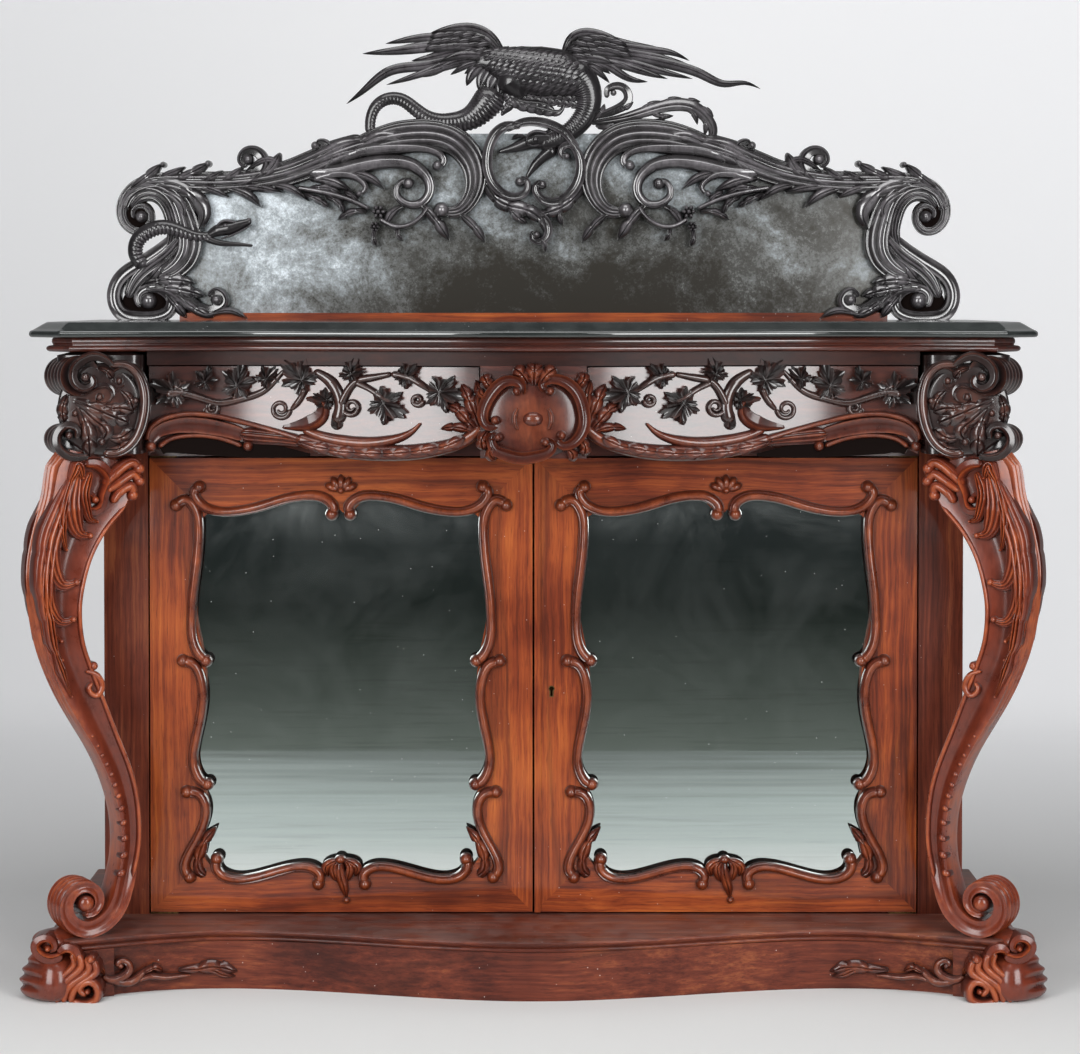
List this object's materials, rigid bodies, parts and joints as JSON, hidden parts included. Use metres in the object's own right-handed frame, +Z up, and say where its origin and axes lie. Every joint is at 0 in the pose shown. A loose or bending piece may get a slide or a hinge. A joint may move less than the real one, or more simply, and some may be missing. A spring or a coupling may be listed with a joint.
{
  "type": "side cabinet",
  "caption": "Carved serpentine side cabinet with mirrored doors, concealed frieze drawers, scroll legs and a mirrored back crested by a winged dragon.",
  "frame": {"origin": "centre of the footprint on the floor", "axes": "+X to the right as seen from the front, +Y to the back, +Z up"},
  "size_m": [1.4836, 0.53, 1.44],
  "materials": {
    "rosewood": "french polished",
    "ebonised": "ebonised, polished",
    "black_slab": "polished",
    "softwood": "plain",
    "mirror": "aged silvering",
    "brass": "aged"
  },
  "bodies": {
    "cabinet": {"back_base_rail": "rosewood", "back_board": "softwood", "back_mirror": "mirror", "back_pegs": "softwood", "back_scroll_left": "ebonised", "back_scroll_right": "ebonised", "carcass_back": "softwood", "carcass_sides": "rosewood", "carcass_stiles": "rosewood", "carcass_top": "softwood", "carcass_top_rail": "rosewood", "centre_cartouche": "rosewood", "corner_block_left": "rosewood", "corner_block_right": "rosewood", "crest_arm_left": "ebonised", "crest_arm_right": "ebonised", "crest_plume": "ebonised", "crest_ring": "ebonised", "door_pivots": "brass", "dragon_body": "ebonised", "dragon_neck": "ebonised", "dragon_tail": "ebonised", "dragon_wing_left": "ebonised", "dragon_wing_right": "ebonised", "drawer_guides": "softwood", "drawer_muntin": "softwood", "foot_left": "rosewood", "foot_right": "rosewood", "frieze_boards": "rosewood", "frieze_rail": "rosewood", "leg_dowels": "softwood", "leg_left": "rosewood", "leg_right": "rosewood", "plinth_boards": "rosewood", "plinth_front": "rosewood", "plinth_top": "rosewood", "serpent": "ebonised", "shelf": "softwood", "shelf_cleats": "softwood", "sub_top": "rosewood", "top_slab": "black_slab"},
    "door_left": {"door_left_frame": "rosewood", "door_left_mirror": "mirror", "door_left_backing": "softwood", "door_left_moulding": "rosewood", "shoot_keepers": "brass"},
    "door_right": {"door_right_frame": "rosewood", "door_right_mirror": "mirror", "door_right_backing": "softwood", "door_right_moulding": "rosewood", "door_right_astragal": "rosewood", "keyhole_escutcheon": "brass", "lock_case": "brass"},
    "lock_bolt_body": {"lock_bolt": "brass"},
    "shoot_upper": {"shoot_bolt_upper": "brass"},
    "shoot_lower": {"shoot_bolt_lower": "brass"},
    "drawer_left": {"drawer_left_front": "rosewood", "drawer_left_box": "softwood"},
    "drawer_right": {"drawer_right_front": "rosewood", "drawer_right_box": "softwood"}
  },
  "joints": [
    {"name": "door_left_hinge", "type": "hinge", "parent": "cabinet", "child": "door_left", "pos_m": [-0.5675, -0.055, 0.43], "axis": [0, 0, -1], "range_deg": [0, 80]},
    {"name": "door_right_hinge", "type": "hinge", "parent": "cabinet", "child": "door_right", "pos_m": [0.5675, -0.055, 0.43], "axis": [0, 0, 1], "range_deg": [0, 80]},
    {"name": "drawer_left_slide", "type": "slide", "parent": "cabinet", "child": "drawer_left", "axis": [0, -1, 0], "range_m": [0, 0.25]},
    {"name": "drawer_right_slide", "type": "slide", "parent": "cabinet", "child": "drawer_right", "axis": [0, -1, 0], "range_m": [0, 0.25]},
    {"name": "lock_bolt_slide", "type": "slide", "parent": "door_right", "child": "lock_bolt_body", "axis": [-1, 0, 0], "range_m": [0, 0.012]},
    {"name": "shoot_upper_slide", "type": "slide", "parent": "door_left", "child": "shoot_upper", "axis": [0, 0, 1], "range_m": [0, 0.014]},
    {"name": "shoot_lower_slide", "type": "slide", "parent": "door_left", "child": "shoot_lower", "axis": [0, 0, -1], "range_m": [0, 0.014]}
  ]
}
